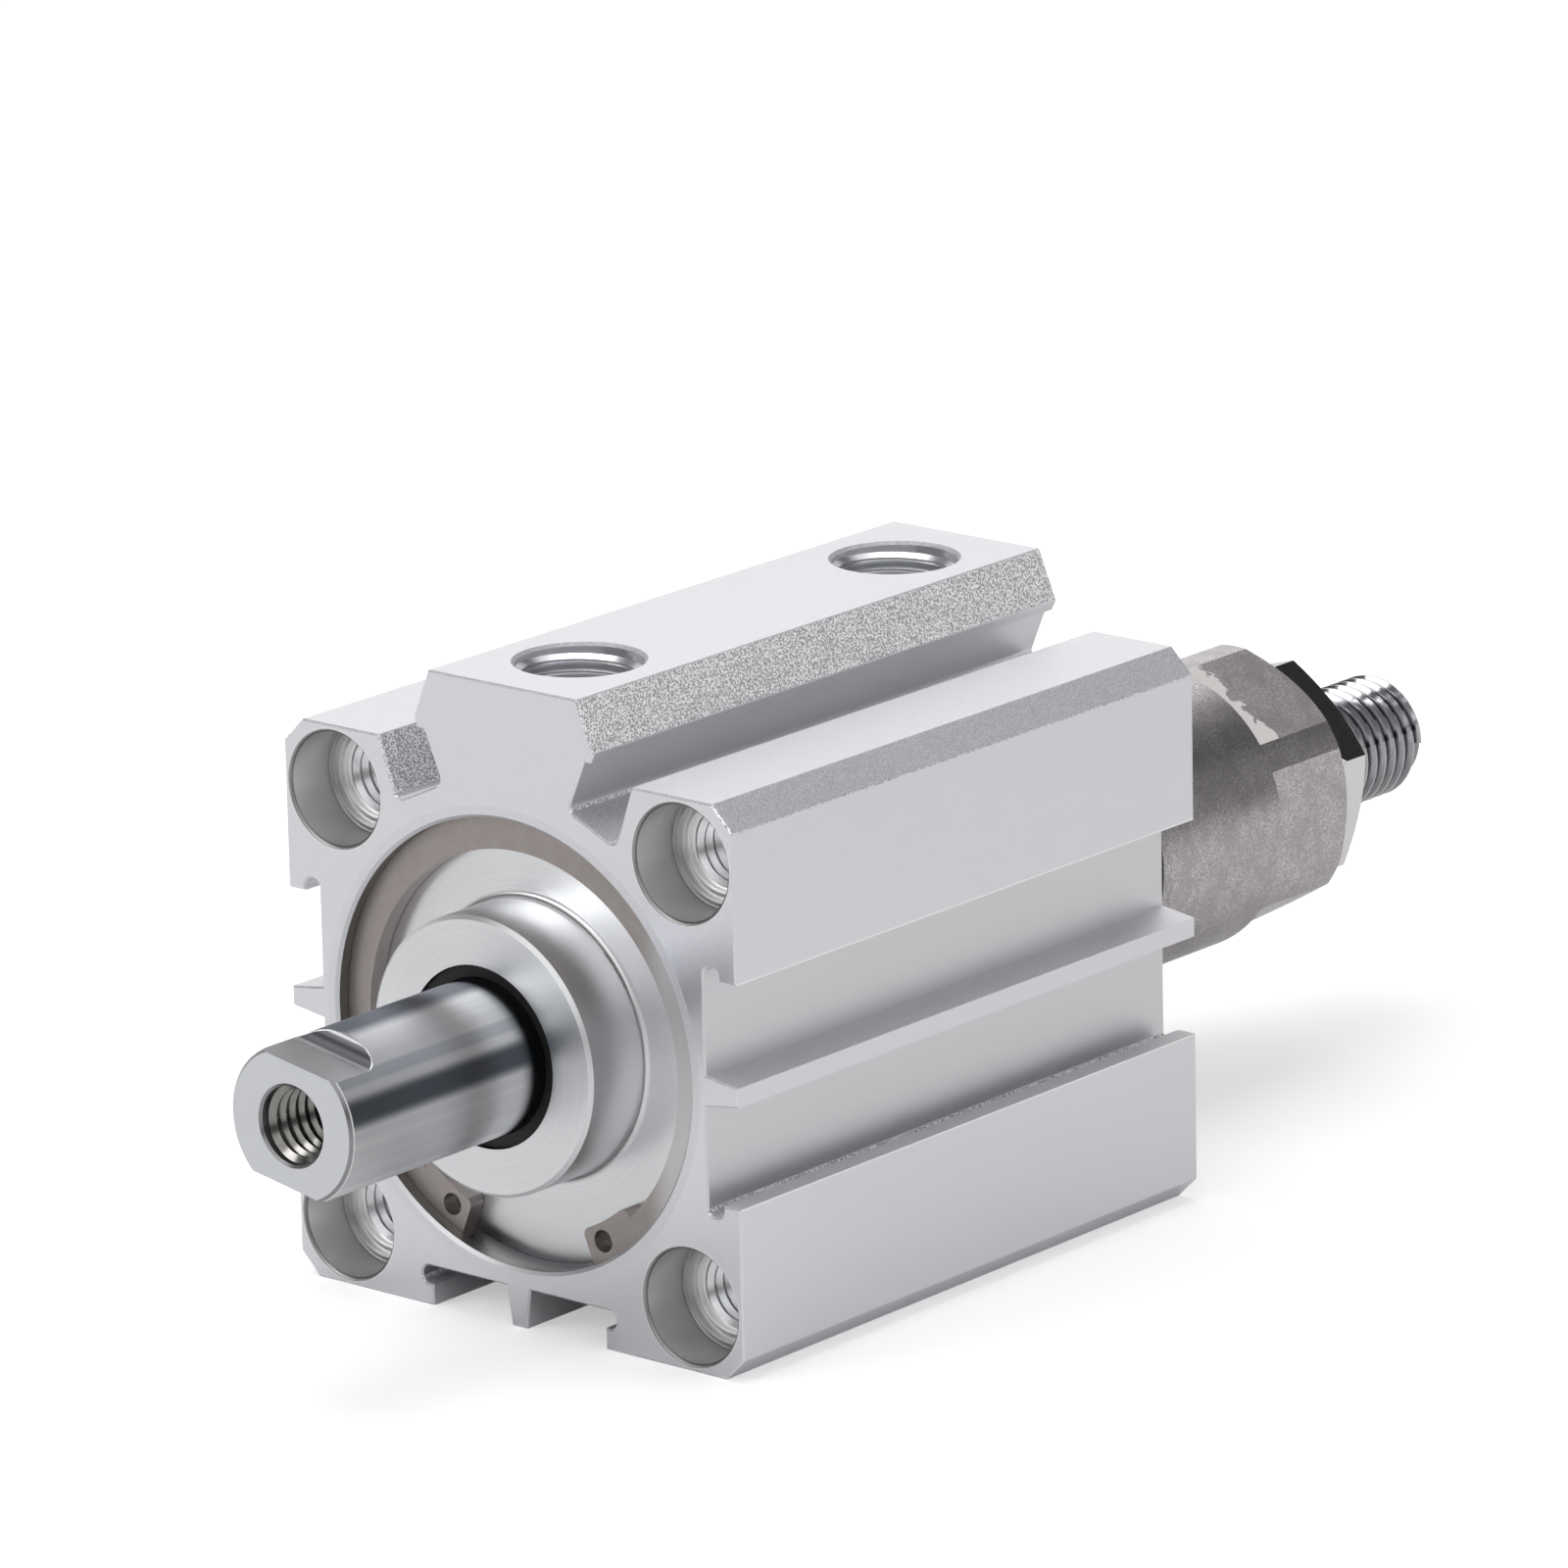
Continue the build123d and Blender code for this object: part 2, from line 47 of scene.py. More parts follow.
# Camera: a long lens from the front right, a little above the rod.
# It looks at a point near the middle of the cylinder body, as a catalogue photograph does.
bpy.ops.object.select_all(action="DESELECT")
camera_data = bpy.data.cameras.new("catalogue_camera")
camera_data.lens = 238.98
camera_data.sensor_width = 36.0
camera_data.clip_start = 0.01
camera = bpy.data.objects.new("catalogue_camera", camera_data)
bpy.context.scene.collection.objects.link(camera)
camera_place = Vector((492.093, -550.674, 228.066)) * MM
camera_heading = math.radians(40.183)
camera_drop = math.radians(15.756)
camera_roll = math.radians(-1.191)
camera.matrix_world = (
    Matrix.Translation(camera_place)
    @ Matrix.Rotation(camera_heading, 4, "Z")
    @ Matrix.Rotation(math.pi / 2 - camera_drop, 4, "X")
    @ Matrix.Rotation(camera_roll, 4, "Z")
)
bpy.context.scene.camera = camera
bpy.context.scene.view_settings.view_transform = "Standard"


# Studio: white paper on a table, a pale room and soft lamps.
# Polished metal mirrors the room, so its walls are bright with a few darker stretches.
def linear(code):
    """An sRGB colour, written as six hex digits, as linear red, green, blue and alpha."""
    shares = [int(code[start:start + 2], 16) / 255 for start in (0, 2, 4)]
    return [
        share / 12.92 if share <= 0.04045 else ((share + 0.055) / 1.055) ** 2.4
        for share in shares
    ] + [1.0]


def add_node(tree, kind, inputs=None, **settings):
    """Add a node. An input takes a value, a socket, or a node whose first live output feeds it."""
    made = tree.nodes.new("ShaderNode" + kind)
    for name, value in settings.items():
        setattr(made, name, value)
    for name, value in (inputs or {}).items():
        if isinstance(value, bpy.types.Node):
            value = next(socket for socket in value.outputs if socket.enabled)
        if isinstance(value, bpy.types.NodeSocket):
            tree.links.new(value, made.inputs[name])
        else:
            made.inputs[name].default_value = value
    return made


def node_adder(owner):
    """Clear a material or a world of its nodes, and give the function that adds new ones."""
    owner.use_nodes = True
    owner.node_tree.nodes.clear()
    return functools.partial(add_node, owner.node_tree)


def soft_patch(add, *edges, outside=0.0):
    """1 inside a patch. Each edge is a reach, where it starts and where the patch is full."""
    share = None
    for reach, start, full in edges:
        limits = {0: reach, 1: start, 2: full, 3: outside}
        inside = add("MapRange", limits, interpolation_type="SMOOTHSTEP")
        share = add("Math", {0: share, 1: inside}, operation="MULTIPLY") if share else inside
    return share


room_light = 0.45
room = bpy.data.worlds.new("studio_room")
bpy.context.scene.world = room
add = node_adder(room)
east, north, up = add("SeparateXYZ", {0: add("TexCoord").outputs["Generated"]}).outputs
# Each stretch has how dark it is, and its edges.
rear_edges = ((north, 0.35, 0.50), (east, -0.22, -0.10), (up, 0.76, 0.68))
dark_walls = {
    "front_low": (0.88, ((north, 0.15, -0.15), (up, 0.36, 0.26))),
    "front_left": (0.88, ((north, 0.15, -0.15), (east, 0.10, -0.10), (up, 0.60, 0.48))),
    "rear": (0.75, rear_edges),
    "rear_high": (0.98, rear_edges + ((up, 0.30, 0.50),)),
    "right_low": (0.95, ((east, 0.55, 0.68), (up, 0.28, 0.20))),
    "left_high": (0.90, ((north, 0.50, 0.36), (east, -0.40, -0.52), (up, 0.50, 0.62))),
}
shade = 0.0
for darkness, edges in dark_walls.values():
    dark = add("Math", {0: soft_patch(add, *edges), 1: darkness}, operation="MULTIPLY")
    shade = add("Math", {0: shade, 1: dark}, operation="MAXIMUM")
above_floor = soft_patch(add, (up, 0.0, 0.06))
shade = add("Math", {0: shade, 1: above_floor}, operation="MULTIPLY")
mirrored = add("Math", {0: 1.0, 1: shade}, operation="SUBTRACT")
lit = add("Background", {"Color": linear("FFFFFF"), "Strength": room_light})
seen = add("Background", {"Color": linear("FFFFFF"), "Strength": mirrored})
white = add("Background", {"Color": linear("FFFFFF")})
path = add("LightPath").outputs
sharp = add("Math", {0: path["Is Glossy Ray"], 1: path["Is Transmission Ray"]}, operation="ADD")
surround = add("MixShader", {0: sharp, 1: lit, 2: seen})
backdrop = add("MixShader", {0: path["Is Camera Ray"], 1: surround, 2: white})
add("OutputWorld", {"Surface": backdrop})

table_size, paper_glow = 6.0, 0.40
table_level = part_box("barrel")[0].z
bpy.ops.mesh.primitive_plane_add(size=table_size, location=(0, 0, table_level))
table = bpy.context.object
table.name = "paper_table"
paper = bpy.data.materials.new("white_paper")
add = node_adder(paper)
sheet = add("BsdfDiffuse", {"Color": linear("F4F4F4")})
seen_ray = add("LightPath").outputs["Is Camera Ray"]
seen_glow = add("Math", {0: seen_ray, 1: paper_glow}, operation="MULTIPLY")
glow = add("Emission", {"Color": linear("FFFFFF"), "Strength": seen_glow})
add("OutputMaterial", {"Surface": add("AddShader", {0: sheet, 1: glow})})
table.data.materials.append(paper)

# Each lamp has its place, the side of its square in metres, and its watts.
lamp_aim = Vector((0, 30 * MM, 0))
lamps = {
    "overhead_softbox": ((-0.10, 0.05, 0.80), 0.60, 2.3),
    "front_softbox": ((-0.45, -0.75, 0.55), 0.50, 2.2),
    "right_softbox": ((0.85, 0.10, 0.35), 0.40, 0.5),
}
for name, (place, side, power) in lamps.items():
    lamp_data = bpy.data.lights.new(name, "AREA")
    lamp_data.size = side
    lamp_data.energy = power
    lamp = bpy.data.objects.new(name, lamp_data)
    bpy.context.scene.collection.objects.link(lamp)
    aimed = (lamp_aim - Vector(place)).to_track_quat("-Z", "Y").to_matrix().to_4x4()
    lamp.matrix_world = Matrix.Translation(place) @ aimed


# Body: one length of extruded aluminium, bead blasted, cut to length, bored and tapped, then
# anodised clear. The blasted faces glitter with a fine grain, the sides keep faint lines from the
# die, and cut ends are smooth. The cones that the drill leaves in the corner holes show its rings.
# Painted light and shade on the body: its blasted faces are toned by which way they face, the slot
# floors, the bore wall and the rims of the drill cones are darkened as painted shade, and each
# slot lip has a thin painted highlight.
def spots(add, size, stretch=(1, 1, 1), detail=2.0):
    """Uneven spots of this width in metres, drawn out by stretch along X, Y and Z."""
    place = add("TexCoord").outputs["Object"]
    scaled = add("Mapping", {"Vector": place, "Scale": [1 / (size * k) for k in stretch]})
    noise = {"Vector": scaled, "Scale": 1.0, "Detail": detail, "Roughness": 0.6}
    return add("TexNoise", noise)


def layered(add, tone, *covers):
    """A tone, a hex code or a node, with others laid over it in turn by the share each covers."""
    for share, cover in covers:
        under, over = (linear(end) if isinstance(end, str) else end for end in (tone, cover))
        tone = add("Mix", {0: share, 6: under, 7: over}, data_type="RGBA")
    return tone


def off_rod(add):
    """How far a place lies off the rod's axis along X and Z, the same on all sides of it."""
    place = add("TexCoord").outputs["Object"]
    flat = add("VectorMath", {0: place, 1: (1.0, 0.0, 1.0)}, operation="MULTIPLY")
    return add("VectorMath", {0: flat}, operation="ABSOLUTE")


def squareness(add):
    """1 on faces square to the rod and 0 on faces along it."""
    facing = add("VectorMath", {0: add("TexCoord").outputs["Normal"]}, operation="ABSOLUTE")
    return add("SeparateXYZ", {0: facing}).outputs["Y"]


def dress(finish, *names):
    """Give these CAD nodes this finish."""
    for name in names:
        for slot in nodes[name].material_slots:
            slot.material = finish


bolt_place = 17.0 * MM
half_side = 22.0 * MM
slot_lip = 8.55 * MM
# Real blast grain and die lines are finer, and are drawn as coarse as they need to show.
blast_grain = 0.17 * MM
die_line = 0.16 * MM
drill_ring = 0.42 * MM
anodised = bpy.data.materials.new("clear_anodised_extrusion")
add = node_adder(anodised)
surface_at = add("TexCoord").outputs
up_way = add("SeparateXYZ", {0: surface_at["Normal"]}).outputs["Z"]
along = add("SeparateXYZ", {0: surface_at["Object"]}).outputs["Y"]
level = squareness(add)
sawn = soft_patch(add, (level, 0.90, 0.97))

off_axis = off_rod(add)
radius = add("VectorMath", {0: off_axis}, operation="LENGTH")
hole_axis = (bolt_place, 0.0, bolt_place)
off_hole = add("VectorMath", {0: off_axis, 1: hole_axis}, operation="DISTANCE")
hole_edge = (off_hole, 4.8 * MM, 4.7 * MM)
bore_edge = (radius, 18.4 * MM, 18.3 * MM)
cone_edges = (hole_edge, (level, 0.45, 0.60), (level, 0.95, 0.90))
in_hole = soft_patch(add, hole_edge)
bored = add("Math", {0: in_hole, 1: soft_patch(add, bore_edge)}, operation="MAXIMUM")
# Painted shade: the wall of the main bore is toned dark.
painted_bore_shade = soft_patch(add, bore_edge, (level, 0.5, 0.3))
cone = soft_patch(add, *cone_edges)
# Painted shade: the outer rim of each drill cone in the corner holes is toned darker.
painted_cone_shade = soft_patch(add, *cone_edges, (off_hole, 3.0 * MM, 4.2 * MM))

sides = add("SeparateXYZ", {0: off_axis}).outputs
outward = add("Math", {0: sides["X"], 1: sides["Z"]}, operation="MAXIMUM")
across = add("Math", {0: sides["X"], 1: sides["Z"]}, operation="MINIMUM")
past_lip = add("Math", {0: across, 1: slot_lip}, operation="SUBTRACT")
off_lip = add("Math", {0: past_lip}, operation="ABSOLUTE")
# Painted highlight: a thin white line along each slot lip on the sides.
painted_lip_highlight = soft_patch(
    add,
    (outward, half_side - 0.10 * MM, half_side - 0.05 * MM),
    (outward, half_side + 0.10 * MM, half_side + 0.05 * MM),
    (off_lip, 0.18 * MM, 0.08 * MM),
)
# Painted shade: faces sunk below the outer sides, such as the slot floors, are toned darker.
painted_slot_shade = soft_patch(add, (outward, 21.8 * MM, 19.2 * MM))

grain = spots(add, blast_grain, detail=1.0)
lines = spots(add, die_line, stretch=(1, 160, 1), detail=1.0)
blasted = soft_patch(add, (up_way, 0.1, 0.3), (sawn, 1.0, 0.0), (bored, 1.0, 0.0))
leaning = soft_patch(add, (up_way, 0.98, 0.90), outside=0.35)
rough_blast = add("Math", {0: blasted, 1: leaning}, operation="MULTIPLY")
dark_grain = soft_patch(add, (grain, 0.60, 0.40))
speck = add("Math", {0: dark_grain, 1: rough_blast}, operation="MULTIPLY")

grain_share = soft_patch(add, (blasted, 0.0, 1.0), outside=0.10)
pits = add("Math", {0: grain, 1: grain_share}, operation="MULTIPLY")
turns = add("Math", {0: along, 1: math.tau / drill_ring}, operation="MULTIPLY")
wave = add("Math", {0: turns}, operation="SINE")
drill_rings = add("Math", {0: wave, 1: cone}, operation="MULTIPLY")
surface = add("Bump", {"Height": pits, "Distance": 0.06 * MM})
for form, depth in ((lines, 0.004 * MM), (drill_rings, 0.05 * MM)):
    surface = add("Bump", {"Height": form, "Distance": depth, "Normal": surface})

# Painted light: the blasted faces get their tone by which way they face, white where they slope,
# greyer where they look further up, and mostly light grey on top.
painted_slope_light = layered(add, "FFFFFF", (soft_patch(add, (up_way, 0.50, 0.65)), "CCCCD0"))
slope_tone = layered(add, painted_slope_light, (speck, "BCBCC0"))
painted_top_light = layered(add, "F4F4F7", (leaning, slope_tone))
hole_tone_and_shade = layered(add, "F0F0F0", (painted_cone_shade, "A6A6A6"))
rough = 0.38
for share, other in ((rough_blast, 0.75), (sawn, 0.25), (bored, 0.40)):
    rough = add("Mix", {0: share, 2: rough, 3: other})
metal = add("BsdfPrincipled", {
    "Base Color": layered(
        add,
        "EDEDF1",
        (painted_slot_shade, "E3E3E6"),
        (sawn, "E5E5EA"),
        (painted_lip_highlight, "FFFFFF"),
        (blasted, painted_top_light),
        (painted_bore_shade, "8E8C8A"),
        (in_hole, hole_tone_and_shade),
    ),
    "Metallic": 1.0,
    "Roughness": rough,
    "Normal": surface,
})
add("OutputMaterial", {"Surface": metal})
dress(anodised, "barrel")


# Tapped threads: cut into the anodised body, one ridge that winds down each hole.
# They are brighter and smoother than the body because the tap burnishes what it cuts.
def mottled_finish(name, tones, spot, metallic, rough, grain, depth, stretch=(1, 1, 1)):
    """A finish of two close tones in spots, with a fine grain that stands up by depth."""
    finish = bpy.data.materials.new(name)
    add = node_adder(finish)
    height = spots(add, grain, stretch=stretch)
    shader = add("BsdfPrincipled", {
        "Base Color": layered(add, tones[0], (spots(add, spot), tones[1])),
        "Metallic": metallic,
        "Roughness": rough,
        "Normal": add("Bump", {"Height": height, "Distance": depth}),
    })
    add("OutputMaterial", {"Surface": shader})
    return finish


def wound_ridge(name, root, crest, pitch, start, end):
    """A thread's ridge wound round Y from start to end, as high as its root and crest radii."""
    root_share, crest_share, steps = 0.90, 0.16, 40
    bpy.ops.object.select_all(action="DESELECT")
    bpy.ops.mesh.primitive_plane_add(size=1.0, location=(0, 0, 0))
    ridge = bpy.context.object
    ridge.name = name
    ridge.data.name = name
    for corner in ridge.data.vertices:
        on_root = corner.co.x < 0
        half = pitch * (root_share if on_root else crest_share) / 2
        side = 1 if corner.co.y > 0 else -1
        corner.co = (root if on_root else crest, start + half * side, 0)
    turn = ridge.modifiers.new("turn", "SCREW")
    turn.axis = "Y"
    turn.screw_offset = pitch
    turn.iterations = round((end - start) / pitch)
    turn.steps = turn.render_steps = steps
    turn.use_merge_vertices = False
    bpy.ops.object.modifier_apply(modifier=turn.name)
    bpy.ops.object.mode_set(mode="EDIT")
    bpy.ops.mesh.select_all(action="SELECT")
    bpy.ops.mesh.fill_holes(sides=4)
    bpy.ops.mesh.select_all(action="SELECT")
    bpy.ops.mesh.normals_make_consistent(inside=False)
    bpy.ops.object.mode_set(mode="OBJECT")
    return ridge


def finish_piece(piece, finish, body):
    """Give a piece its finish, its body and its slot, smooth except at edges over 30 degrees."""
    if not piece.data.materials:
        piece.data.materials.append(finish)
    bpy.ops.object.select_all(action="DESELECT")
    bpy.context.view_layer.objects.active = piece
    piece.select_set(True)
    bpy.ops.object.shade_smooth_by_angle(angle=math.radians(30))
    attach(piece, body)


def copy_piece(piece, name, matrix):
    """A copy of a piece with its own mesh, moved by a matrix."""
    twin = piece.copy()
    twin.data = piece.data.copy()
    twin.name = name
    twin.data.name = name
    twin.data.transform(matrix)
    bpy.context.scene.collection.objects.link(twin)
    return twin


tapped = mottled_finish(
    "tapped_aluminium", ("DCDDE0", "ECEDEF"), 0.5 * MM,
    metallic=1.0, rough=0.28, grain=0.08 * MM, depth=0.006 * MM, stretch=(6, 1, 6),
)
body_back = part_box("barrel")[1].y
fixing_ridge = wound_ridge(
    "fixing_thread",
    root=3.02 * MM, crest=2.60 * MM, pitch=1.0 * MM, start=5.3 * MM, end=16.4 * MM,
)
half_turn = Matrix.Translation((0, body_back, 0)) @ Matrix.Rotation(math.pi, 4, "Z")
for end, placing in (("front", Matrix.Identity(4)), ("rear", half_turn)):
    for side, column in (("left", -1), ("right", 1)):
        for tier, row in (("lower", -1), ("upper", 1)):
            hole = Matrix.Translation((column * bolt_place, 0, row * bolt_place))
            twin = copy_piece(fixing_ridge, f"fixing_thread_{end}_{side}_{tier}", placing @ hole)
            finish_piece(twin, tapped, "body")
bpy.data.objects.remove(fixing_ridge)

port_place = 8.8 * MM
port_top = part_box("barrel")[1].z
port_ridge = wound_ridge(
    "port_thread",
    root=4.88 * MM, crest=4.42 * MM, pitch=0.907 * MM, start=0.62 * MM, end=7.6 * MM,
)
stand_up = Matrix.Rotation(-math.pi / 2, 4, "X")
for end, place in (("front", port_place), ("rear", body_back - port_place)):
    sunk = Matrix.Translation((0, place, port_top)) @ stand_up
    twin = copy_piece(port_ridge, f"port_thread_{end}", sunk)
    finish_piece(twin, tapped, "body")
bpy.data.objects.remove(port_ridge)

# End covers: turned from aluminium bar and anodised.
# The tool leaves fine rings round the rod, which draw each highlight out into a fan.
ring_step = 0.12 * MM
turned = bpy.data.materials.new("turned_aluminium")
add = node_adder(turned)
along = add("SeparateXYZ", {0: add("TexCoord").outputs["Object"]}).outputs["Y"]
radius = add("VectorMath", {0: off_rod(add)}, operation="LENGTH")
spread = add("CombineXYZ", {0: radius, 1: along})
scaled = add("VectorMath", {0: spread, "Scale": 1 / ring_step}, operation="SCALE")
rings = add("TexNoise", {"Vector": scaled, "Scale": 1.0, "Detail": 2.0})
metal = add("BsdfPrincipled", {
    "Base Color": layered(add, "DEDFE1", (rings, "EEEFF1")),
    "Metallic": 1.0,
    "Roughness": 0.30,
    "Anisotropic": 0.75,
    "Tangent": add("Tangent", direction_type="RADIAL", axis="Y"),
    "Normal": add("Bump", {"Height": rings, "Distance": 0.004 * MM}),
})
add("OutputMaterial", {"Surface": metal})
dress(turned, "front_cover", "rear_cover")

# Retaining rings: stamped spring steel with a thin brown-grey phosphate coat.
# The coat is dull and slightly uneven. Its right side is a painted reflection, light grey and
# fully metallic.
spring = bpy.data.materials.new("phosphated_spring_steel")
add = node_adder(spring)
rightward = add("SeparateXYZ", {0: add("TexCoord").outputs["Object"]}).outputs["X"]
# Painted reflection: the ring turns light grey and fully metallic towards its right side.
painted_reflection_side = soft_patch(add, (rightward, 11.5 * MM, 14.5 * MM))
coat_grain = spots(add, 0.15 * MM)
metal = add("BsdfPrincipled", {
    "Base Color": layered(add, "9E9693", (spots(add, 1.2 * MM), "B2ABA8"), (painted_reflection_side, "D2D2D2")),
    "Metallic": add("Mix", {0: painted_reflection_side, 2: 0.85, 3: 1.0}),
    "Roughness": 0.42,
    "Normal": add("Bump", {"Height": coat_grain, "Distance": 0.010 * MM}),
})
add("OutputMaterial", {"Surface": metal})
dress(spring, "front_retaining_ring", "rear_retaining_ring")

# Seals: moulded nitrile rubber, round the rod and the piston and under the covers.
# It is black with a slight gloss from the mould and the grease.
rubber = mottled_finish(
    "nitrile_rubber", ("040505", "0A0B0C"), 0.8 * MM,
    metallic=0.0, rough=0.55, grain=0.10 * MM, depth=0.004 * MM,
)
dress(rubber, "front_rod_seal", "rear_rod_seal", "piston_seal")
dress(rubber, "front_cover_oring", "rear_cover_oring", "stud_oring")

# Front rod: carbon steel, ground and hard chromed, polished lengthwise, so what it mirrors is
# drawn out along it. Lengthwise bands of painted reflection darken its colour by which way the
# surface faces. Its spanner flats are milled after chroming and darken where they run out, and
# a band of painted shade darkens the rod just in front of the seal. Each band has its middle, edge
# and core in degrees round Y.
painted_reflection_bands = ((17, 13, 4, "666A72"), (40, 6, 3, "D0D4DA"), (112, 40, 26, "82868E"))
chrome = bpy.data.materials.new("hard_chrome")
add = node_adder(chrome)
surface_at = add("TexCoord").outputs
along = add("SeparateXYZ", {0: surface_at["Object"]}).outputs["Y"]
radius = add("VectorMath", {0: off_rod(add)}, operation="LENGTH")
level = squareness(add)
rod_front, boss_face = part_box("front_rod")[0].y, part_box("front_cover")[0].y
ground_round = soft_patch(add, (radius, 5.90 * MM, 5.95 * MM))
milled = soft_patch(add, (ground_round, 1.0, 0.0))
behind_mouth = (along, rod_front + 1.0 * MM, rod_front + 1.1 * MM)
run_out = soft_patch(add, (level, 0.10, 0.30), behind_mouth)
# Painted shade: the rod darkens in a band just in front of the seal.
painted_seal_shade = soft_patch(
    add,
    (along, boss_face - 2.4 * MM, boss_face - 0.2 * MM),
    (along, boss_face + 1.6 * MM, boss_face - 0.1 * MM),
)
flat_tone = layered(add, "98989A", (run_out, "505054"))
milled_tone = layered(add, "DADCE0", (soft_patch(add, (level, 0.95, 0.85)), flat_tone))
tone = layered(add, "DADDE2", (spots(add, 1.0 * MM, stretch=(1, 80, 1)), "FFFFFF"))
# Painted reflection: each band darkens the colour where the surface faces the band's middle.
for middle, edge, core, reflection_tone in painted_reflection_bands:
    faced = (math.cos(math.radians(middle)), 0.0, math.sin(math.radians(middle)))
    lean = add("VectorMath", {0: surface_at["Normal"], 1: faced}, operation="DOT_PRODUCT")
    band = (lean, math.cos(math.radians(edge)), math.cos(math.radians(core)))
    tone = layered(add, tone, (soft_patch(add, band), reflection_tone))
metal = add("BsdfPrincipled", {
    "Base Color": layered(add, tone, (painted_seal_shade, "606469"), (milled, milled_tone)),
    "Metallic": 1.0,
    "Roughness": add("Mix", {0: ground_round, 2: 0.30, 3: 0.44}),
    "Anisotropic": ground_round,
    "Tangent": add("Tangent", direction_type="RADIAL", axis="Y"),
})
add("OutputMaterial", {"Surface": metal})
dress(chrome, "front_rod")

# Rod mouth: tapped in the bare steel of the rod's end after chroming.
# The cut steel is darker than the chrome round it, and each turn catches a little light.
cut_steel = mottled_finish(
    "cut_steel_thread", ("7E7C79", "A09E9B"), 0.5 * MM,
    metallic=1.0, rough=0.18, grain=0.08 * MM, depth=0.005 * MM, stretch=(6, 1, 6),
)
mouth_start, mouth_end = rod_front + 0.8 * MM, rod_front + 11.8 * MM
rod_thread = wound_ridge(
    "rod_end_thread",
    root=3.02 * MM, crest=2.52 * MM, pitch=1.0 * MM, start=mouth_start, end=mouth_end,
)
finish_piece(rod_thread, cut_steel, "rod")

# Rear rod: the same chromed bar, turned down behind the smooth length and rolled with a fine
# thread. The thread's roots are painted dark as shade, so each turn stands out against the next.
rolled_steel = bpy.data.materials.new("rolled_steel_thread")
add = node_adder(rolled_steel)
radius = add("VectorMath", {0: off_rod(add)}, operation="LENGTH")
crest_tone = layered(add, "B4B4B8", (spots(add, 0.7 * MM), "C8C8CC"))
# Painted shade: the roots below the crests take a near-black tone.
raised = soft_patch(add, (radius, 4.35 * MM, 4.75 * MM))
roll_grain = spots(add, 0.2 * MM)
metal = add("BsdfPrincipled", {
    "Base Color": layered(add, "38383C", (raised, crest_tone)),
    "Metallic": 1.0,
    "Roughness": 0.10,
    "Normal": add("Bump", {"Height": roll_grain, "Distance": 0.003 * MM}),
})
add("OutputMaterial", {"Surface": metal})

rear_start, rear_tip = (corner.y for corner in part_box("rear_rod"))
stud_radius, rod_radius, relief_radius = 4.0 * MM, 6.0 * MM, 4.2 * MM
core_radius, crest_radius = 4.14 * MM, 4.95 * MM
smooth_start, smooth_end = 28.65 * MM, 64.2 * MM
end_chamfer, rod_edge, tip_gap = 0.8 * MM, 0.3 * MM, 0.02 * MM
steps_along_rod = (
    (smooth_start, stud_radius),
    (smooth_start, rod_radius),
    (smooth_end - rod_edge, rod_radius),
    (smooth_end, rod_radius - rod_edge),
    (smooth_end, relief_radius),
    (rear_tip - end_chamfer, core_radius),
    (rear_tip - tip_gap, core_radius),
)
bpy.ops.object.select_all(action="DESELECT")
bpy.ops.mesh.primitive_circle_add(
    vertices=72,
    radius=stud_radius,
    fill_type="NGON",
    location=(0, rear_start, 0),
    rotation=(math.pi / 2, 0, 0),
)
rear_rod = bpy.context.object
rear_rod.name = "threaded_rear_rod"
bpy.ops.object.transform_apply(location=True, rotation=True, scale=True)
bpy.ops.object.mode_set(mode="EDIT")
bpy.ops.mesh.select_all(action="SELECT")
last_place, last_reach = rear_start, stud_radius
for place, reach in steps_along_rod:
    forward = (0, place - last_place, 0)
    bpy.ops.mesh.extrude_region_move(TRANSFORM_OT_translate={"value": forward})
    share = reach / last_reach
    bpy.ops.transform.resize(value=(share, 1, share), center_override=(0, place, 0))
    last_place, last_reach = place, reach
bpy.ops.mesh.select_all(action="SELECT")
bpy.ops.mesh.remove_doubles(threshold=0.001 * MM)
bpy.ops.mesh.normals_make_consistent(inside=False)
bpy.ops.object.mode_set(mode="OBJECT")

rolled_pitch, rolled_turns, root_sink = 1.25 * MM, 32, 0.05 * MM
rolled_end = rear_tip - rolled_pitch / 2
rolled_start = rolled_end - rolled_turns * rolled_pitch
rolled = wound_ridge(
    "rolled_thread",
    root=core_radius - root_sink,
    crest=crest_radius,
    pitch=rolled_pitch,
    start=rolled_start,
    end=rolled_end,
)
for point in rolled.data.vertices:
    reach = math.hypot(point.co.x, point.co.z)
    limit = crest_radius - max(0.0, point.co.y - (rear_tip - end_chamfer))
    if reach > limit:
        point.co.x *= limit / reach
        point.co.z *= limit / reach
rolled.data.materials.append(rolled_steel)
rear_rod.data.materials.append(chrome)
bpy.ops.object.select_all(action="DESELECT")
rolled.select_set(True)
rear_rod.select_set(True)
bpy.context.view_layer.objects.active = rear_rod
bpy.ops.object.join()
finish_piece(rear_rod, chrome, "rod")
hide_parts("rear_rod")

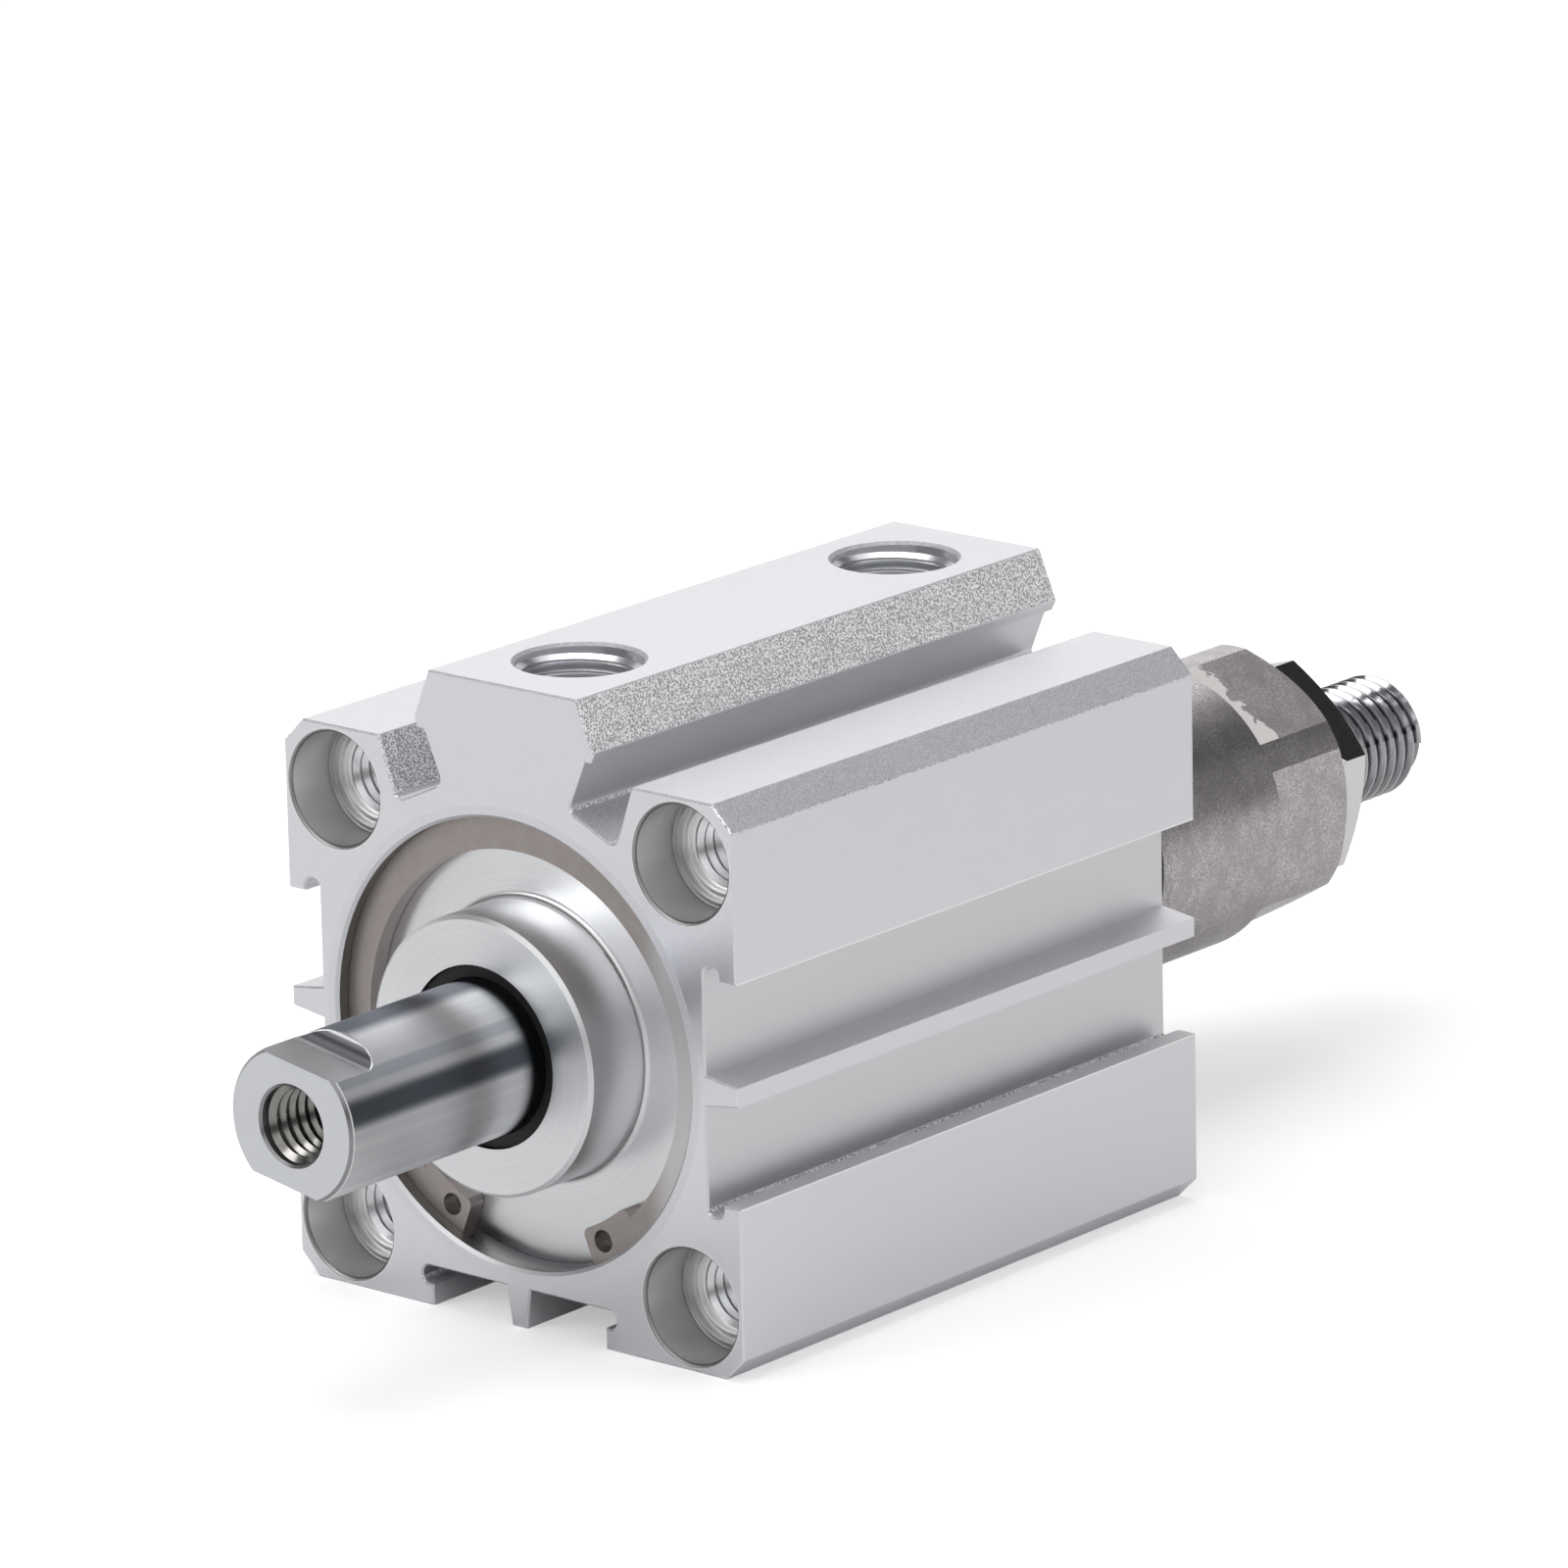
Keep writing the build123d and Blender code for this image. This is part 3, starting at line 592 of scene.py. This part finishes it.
# Stroke adjuster: a turned steel nut, ground and nickel plated, with six spanner flats.
# The grinding lay leaves it slightly brown. The start of its upper flat carries a painted
# highlight, a lighter and rougher band that ends raggedly.
flat_length, highlight_length, rag_depth = 10.0 * MM, 4.6 * MM, 4.0 * MM
ground = bpy.data.materials.new("ground_steel")
add = node_adder(ground)
surface_at = add("TexCoord").outputs
along = add("SeparateXYZ", {0: surface_at["Object"]}).outputs["Y"]
flat_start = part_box("adjusting_nut")[1].y - flat_length
highlight_end = flat_start + highlight_length
cloud = soft_patch(add, (spots(add, 2.2 * MM, detail=3.0), 0.35, 0.60), outside=0.45)
mottle = soft_patch(add, (spots(add, 0.18 * MM, detail=4.0), 0.36, 0.64))
mottle = add("Math", {0: mottle, 1: cloud}, operation="MULTIPLY")
rags = spots(add, 1.3 * MM, detail=5.0)
torn = add("Math", {0: rags, 1: rag_depth, 2: along}, operation="MULTIPLY_ADD")
upper_flat = (0.5, 0.0, 0.866)
upward = add("VectorMath", {0: surface_at["Normal"], 1: upper_flat}, operation="DOT_PRODUCT")
# Painted highlight: a lighter, rougher patch at the start of the upper flat, with a ragged end.
painted_highlight_patch = soft_patch(
    add,
    (along, flat_start, flat_start + 0.02 * MM),
    (torn, highlight_end, highlight_end - 0.1 * MM),
    (upward, 0.99, 0.995),
)
lay = spots(add, 0.10 * MM, stretch=(1, 30, 1), detail=1.0)
metal = add("BsdfPrincipled", {
    "Base Color": layered(add, "ABA6A7", (mottle, "DAD5D6"), (painted_highlight_patch, "DCD8D7")),
    "Metallic": 1.0,
    "Roughness": add("Mix", {0: painted_highlight_patch, 2: 0.32, 3: 0.62}),
    "Normal": add("Bump", {"Height": lay, "Distance": 0.004 * MM}),
})
add("OutputMaterial", {"Surface": metal})
dress(ground, "adjusting_nut")

# Stop pad and bumpers: cast urethane, dark grey and dull. The pad sits in the adjuster's nose and
# meets the rear cover, and the bumpers meet the piston, so the stroke ends quietly.
urethane = mottled_finish(
    "cast_urethane", ("3A3B3E", "4A4B4E"), 1.0 * MM,
    metallic=0.0, rough=0.5, grain=0.2 * MM, depth=0.006 * MM,
)
dress(urethane, "stop_pad", "front_bumper", "rear_bumper")

# Lock nut: a thin hexagon nut, cold formed and bright zinc plated.
# The plate is nearly a mirror, with a faint cloud from the bath.
plated = mottled_finish(
    "bright_zinc_plate", ("E6E4E4", "F0EEEE"), 1.5 * MM,
    metallic=1.0, rough=0.14, grain=0.4 * MM, depth=0.001 * MM,
)
dress(plated, "lock_nut")

# Inside the body: sintered bronze bushes, whose pores show as dark specks, and the piston of
# turned aluminium with its bonded ferrite magnet, dull and nearly black, and its moulded
# acetal guide band, a matt brown-grey.
bronze = bpy.data.materials.new("sintered_bronze")
add = node_adder(bronze)
pores = spots(add, 0.12 * MM, detail=3.0)
metal = add("BsdfPrincipled", {
    "Base Color": layered(add, "8A6238", (pores, "B58A55")),
    "Metallic": 1.0,
    "Roughness": 0.4,
    "Normal": add("Bump", {"Height": pores, "Distance": 0.01 * MM}),
})
add("OutputMaterial", {"Surface": metal})
dress(bronze, "front_rod_bush", "rear_rod_bush")
dress(turned, "piston", "magnet_retainer")

ferrite = mottled_finish(
    "bonded_ferrite", ("2B2A2A", "3A3938"), 0.3 * MM,
    metallic=0.0, rough=0.6, grain=0.15 * MM, depth=0.008 * MM,
)
dress(ferrite, "magnet")

acetal = mottled_finish(
    "filled_acetal", ("5B5750", "6B675F"), 0.6 * MM,
    metallic=0.0, rough=0.45, grain=0.2 * MM, depth=0.005 * MM,
)
dress(acetal, "wear_ring")

bpy.context.view_layer.update()
